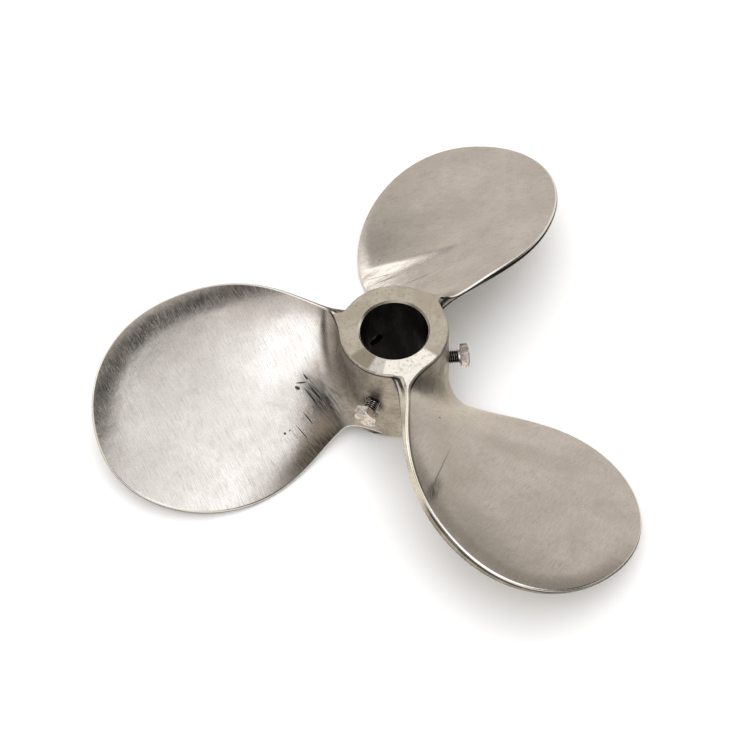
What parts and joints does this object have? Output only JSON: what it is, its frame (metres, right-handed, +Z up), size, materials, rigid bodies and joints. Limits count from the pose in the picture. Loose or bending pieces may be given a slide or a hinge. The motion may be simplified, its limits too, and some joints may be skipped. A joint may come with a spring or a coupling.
{
  "type": "mixing impeller",
  "caption": "Cast stainless mixing impeller with round pitched blades on a bored hub, held on its shaft by hex-head set screws.",
  "frame": {"origin": "on the bore's axis, in the hub's lower end face", "axes": "+Z up along the bore, from the lower end face to the upper one; +Y along one blade; the other two lie at 210 and 330 degrees from +X"},
  "size_m": [0.3185, 0.2979, 0.0679],
  "materials": {
    "cast_steel": "satin",
    "screw_steel": "satin"
  },
  "bodies": {
    "impeller": {"impeller_casting": "cast_steel"},
    "front_screw": {"set_screw_front": "screw_steel"},
    "right_screw": {"set_screw_right": "screw_steel"},
    "rear_screw": {"set_screw_rear": "screw_steel"}
  },
  "joints": [
    {"name": "front_screw_travel", "type": "slide", "parent": "impeller", "child": "front_screw", "axis": [0.165, 0.9863, 0], "range_m": [-0.005, 0.005]},
    {"name": "right_screw_travel", "type": "slide", "parent": "impeller", "child": "right_screw", "axis": [-0.9367, -0.3502, 0], "range_m": [-0.005, 0.005]},
    {"name": "rear_screw_travel", "type": "slide", "parent": "impeller", "child": "rear_screw", "axis": [0.7716, -0.6361, 0], "range_m": [-0.005, 0.005]}
  ]
}
